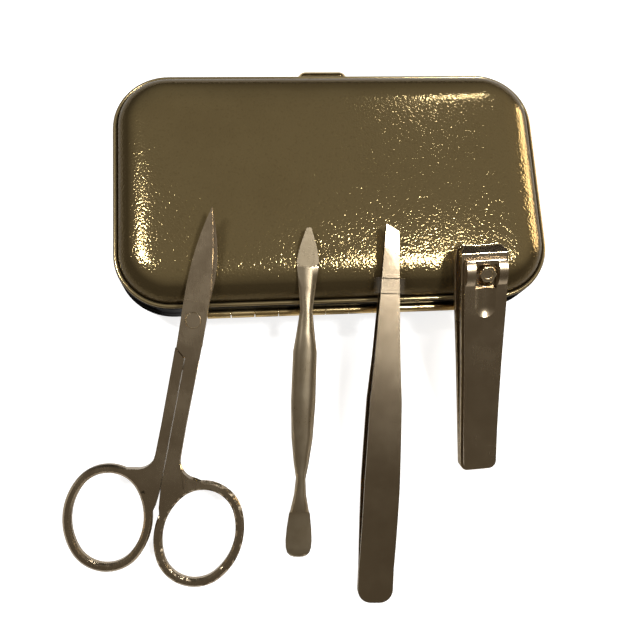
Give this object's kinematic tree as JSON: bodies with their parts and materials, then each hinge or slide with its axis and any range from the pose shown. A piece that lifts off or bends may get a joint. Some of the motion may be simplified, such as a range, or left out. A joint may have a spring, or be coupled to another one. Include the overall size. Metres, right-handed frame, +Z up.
{
  "type": "manicure set case",
  "caption": "Hard manicure case with press clasp and piano hinge, with scissors, cuticle pusher, tweezers and nail clipper leaning on its lid",
  "frame": {"origin": "middle of the closed case's flat bottom face, on the surface that it rests on", "axes": "+X to the right along the case's long side, +Y from the hinge to the clasp, +Z up; the tools' feet lie at -Y"},
  "size_m": [0.1293, 0.1448, 0.034],
  "materials": {
    "covered_shell": "metallic gold pebbled synthetic leather",
    "piping": "smooth dull gold piping",
    "frame": "gloss black enamel",
    "lining": "black velvet",
    "board": "black velvet on card",
    "elastic": "black woven elastic",
    "hinge_metal": "polished gold",
    "tool_steel": "satin champagne gold",
    "spring_steel": "bright",
    "clear_film": "clear film"
  },
  "bodies": {
    "case_base": {"base_shell": "covered_shell", "base_frame": "frame", "base_piping": "piping", "base_lining": "lining", "tool_board": "board", "elastic_band": "elastic", "hinge_leaf_base": "hinge_metal", "hinge_pin": "hinge_metal", "clasp_springs": "spring_steel"},
    "lid": {"lid_shell": "covered_shell", "lid_frame": "frame", "lid_piping": "piping", "lid_lining": "lining", "hinge_leaf_lid": "hinge_metal", "clasp_catch": "hinge_metal"},
    "clasp": {"clasp_button": "hinge_metal", "clasp_latch": "hinge_metal"},
    "scissors": {"scissors_half_right": "tool_steel", "scissors_screw": "tool_steel"},
    "scissors_left": {"scissors_half_left": "tool_steel"},
    "pusher": {"cuticle_pusher": "tool_steel"},
    "tweezers": {"tweezers_lower_arm": "tool_steel"},
    "tweezers_upper": {"tweezers_upper_arm": "tool_steel"},
    "sleeve": {"tip_sleeve": "clear_film"},
    "clipper": {"clipper_lower_blade": "tool_steel", "clipper_rivet": "tool_steel"},
    "clipper_upper": {"clipper_upper_blade": "tool_steel"},
    "clipper_post": {"clipper_post": "tool_steel"},
    "clipper_lever": {"clipper_lever": "tool_steel"}
  },
  "joints": [
    {"name": "lid_hinge", "type": "hinge", "parent": "case_base", "child": "lid", "pos_m": [0, -0.0331, 0.0125], "axis": [1, 0, 0], "range_deg": [0, 100]},
    {"name": "clasp_press", "type": "slide", "parent": "case_base", "child": "clasp", "axis": [0, -1, 0], "range_m": [0, 0.0009], "stiffness_N_per_m": 600, "springref_m": -0.0008, "deforming": ["clasp_springs"]},
    {"name": "scissors_lean", "type": "hinge", "parent": "case_base", "child": "scissors", "pos_m": [-0.0502, -0.099, 0], "axis": [0.9789, -0.2045, 0], "range_deg": [0, 42.5]},
    {"name": "scissors_pivot", "type": "hinge", "parent": "scissors", "child": "scissors_left", "pos_m": [-0.03714, -0.03648, 0.02094], "axis": [0.0602, 0.2883, -0.9556], "range_deg": [0, 32]},
    {"name": "pusher_lean", "type": "hinge", "parent": "case_base", "child": "pusher", "pos_m": [-0.0128, -0.0957, 0], "axis": [0.9979, -0.0645, 0], "range_deg": [0, 43.5]},
    {"name": "tweezers_lean", "type": "hinge", "parent": "case_base", "child": "tweezers", "pos_m": [0.0064, -0.1081, 0], "axis": [0.9972, -0.075, 0], "range_deg": [0, 39]},
    {"name": "tweezers_squeeze", "type": "hinge", "parent": "tweezers", "child": "tweezers_upper", "pos_m": [0.00703, -0.09978, 0.00353], "axis": [-0.9972, 0.075, 0], "range_deg": [0, 0.5], "stiffness_Nm_per_rad": 2, "springref_deg": -0.57},
    {"name": "sleeve_slide", "type": "slide", "parent": "tweezers", "child": "sleeve", "axis": [0.0719, 0.9565, 0.2827], "range_m": [0, 0.0185]},
    {"name": "clipper_lean", "type": "hinge", "parent": "case_base", "child": "clipper", "pos_m": [0.0368, -0.0751, 0], "axis": [0.9995, 0.0314, 0], "range_deg": [0, 49.5]},
    {"name": "clipper_squeeze", "type": "hinge", "parent": "clipper", "child": "clipper_upper", "pos_m": [0.03672, -0.0725, 0.00287], "axis": [-0.9995, -0.0314, 0], "range_deg": [0, 1.35], "stiffness_Nm_per_rad": 6, "springref_deg": -0.29},
    {"name": "lever_swing", "type": "hinge", "parent": "clipper", "child": "clipper_post", "pos_m": [0.03536, -0.02936, 0.03121], "axis": [-0.0163, 0.5173, -0.8556], "range_deg": [-180, 0]},
    {"name": "lever_tilt", "type": "hinge", "parent": "clipper_post", "child": "clipper_lever", "pos_m": [0.03528, -0.0268, 0.03287], "axis": [-0.9995, -0.0314, 0], "range_deg": [0, 90]}
  ],
  "couplings": [
    {"joint": "scissors_lean", "follows": "lid_hinge", "ratio": 0.42},
    {"joint": "pusher_lean", "follows": "lid_hinge", "ratio": 0.43},
    {"joint": "tweezers_lean", "follows": "lid_hinge", "ratio": 0.385},
    {"joint": "clipper_lean", "follows": "lid_hinge", "ratio": 0.49}
  ]
}
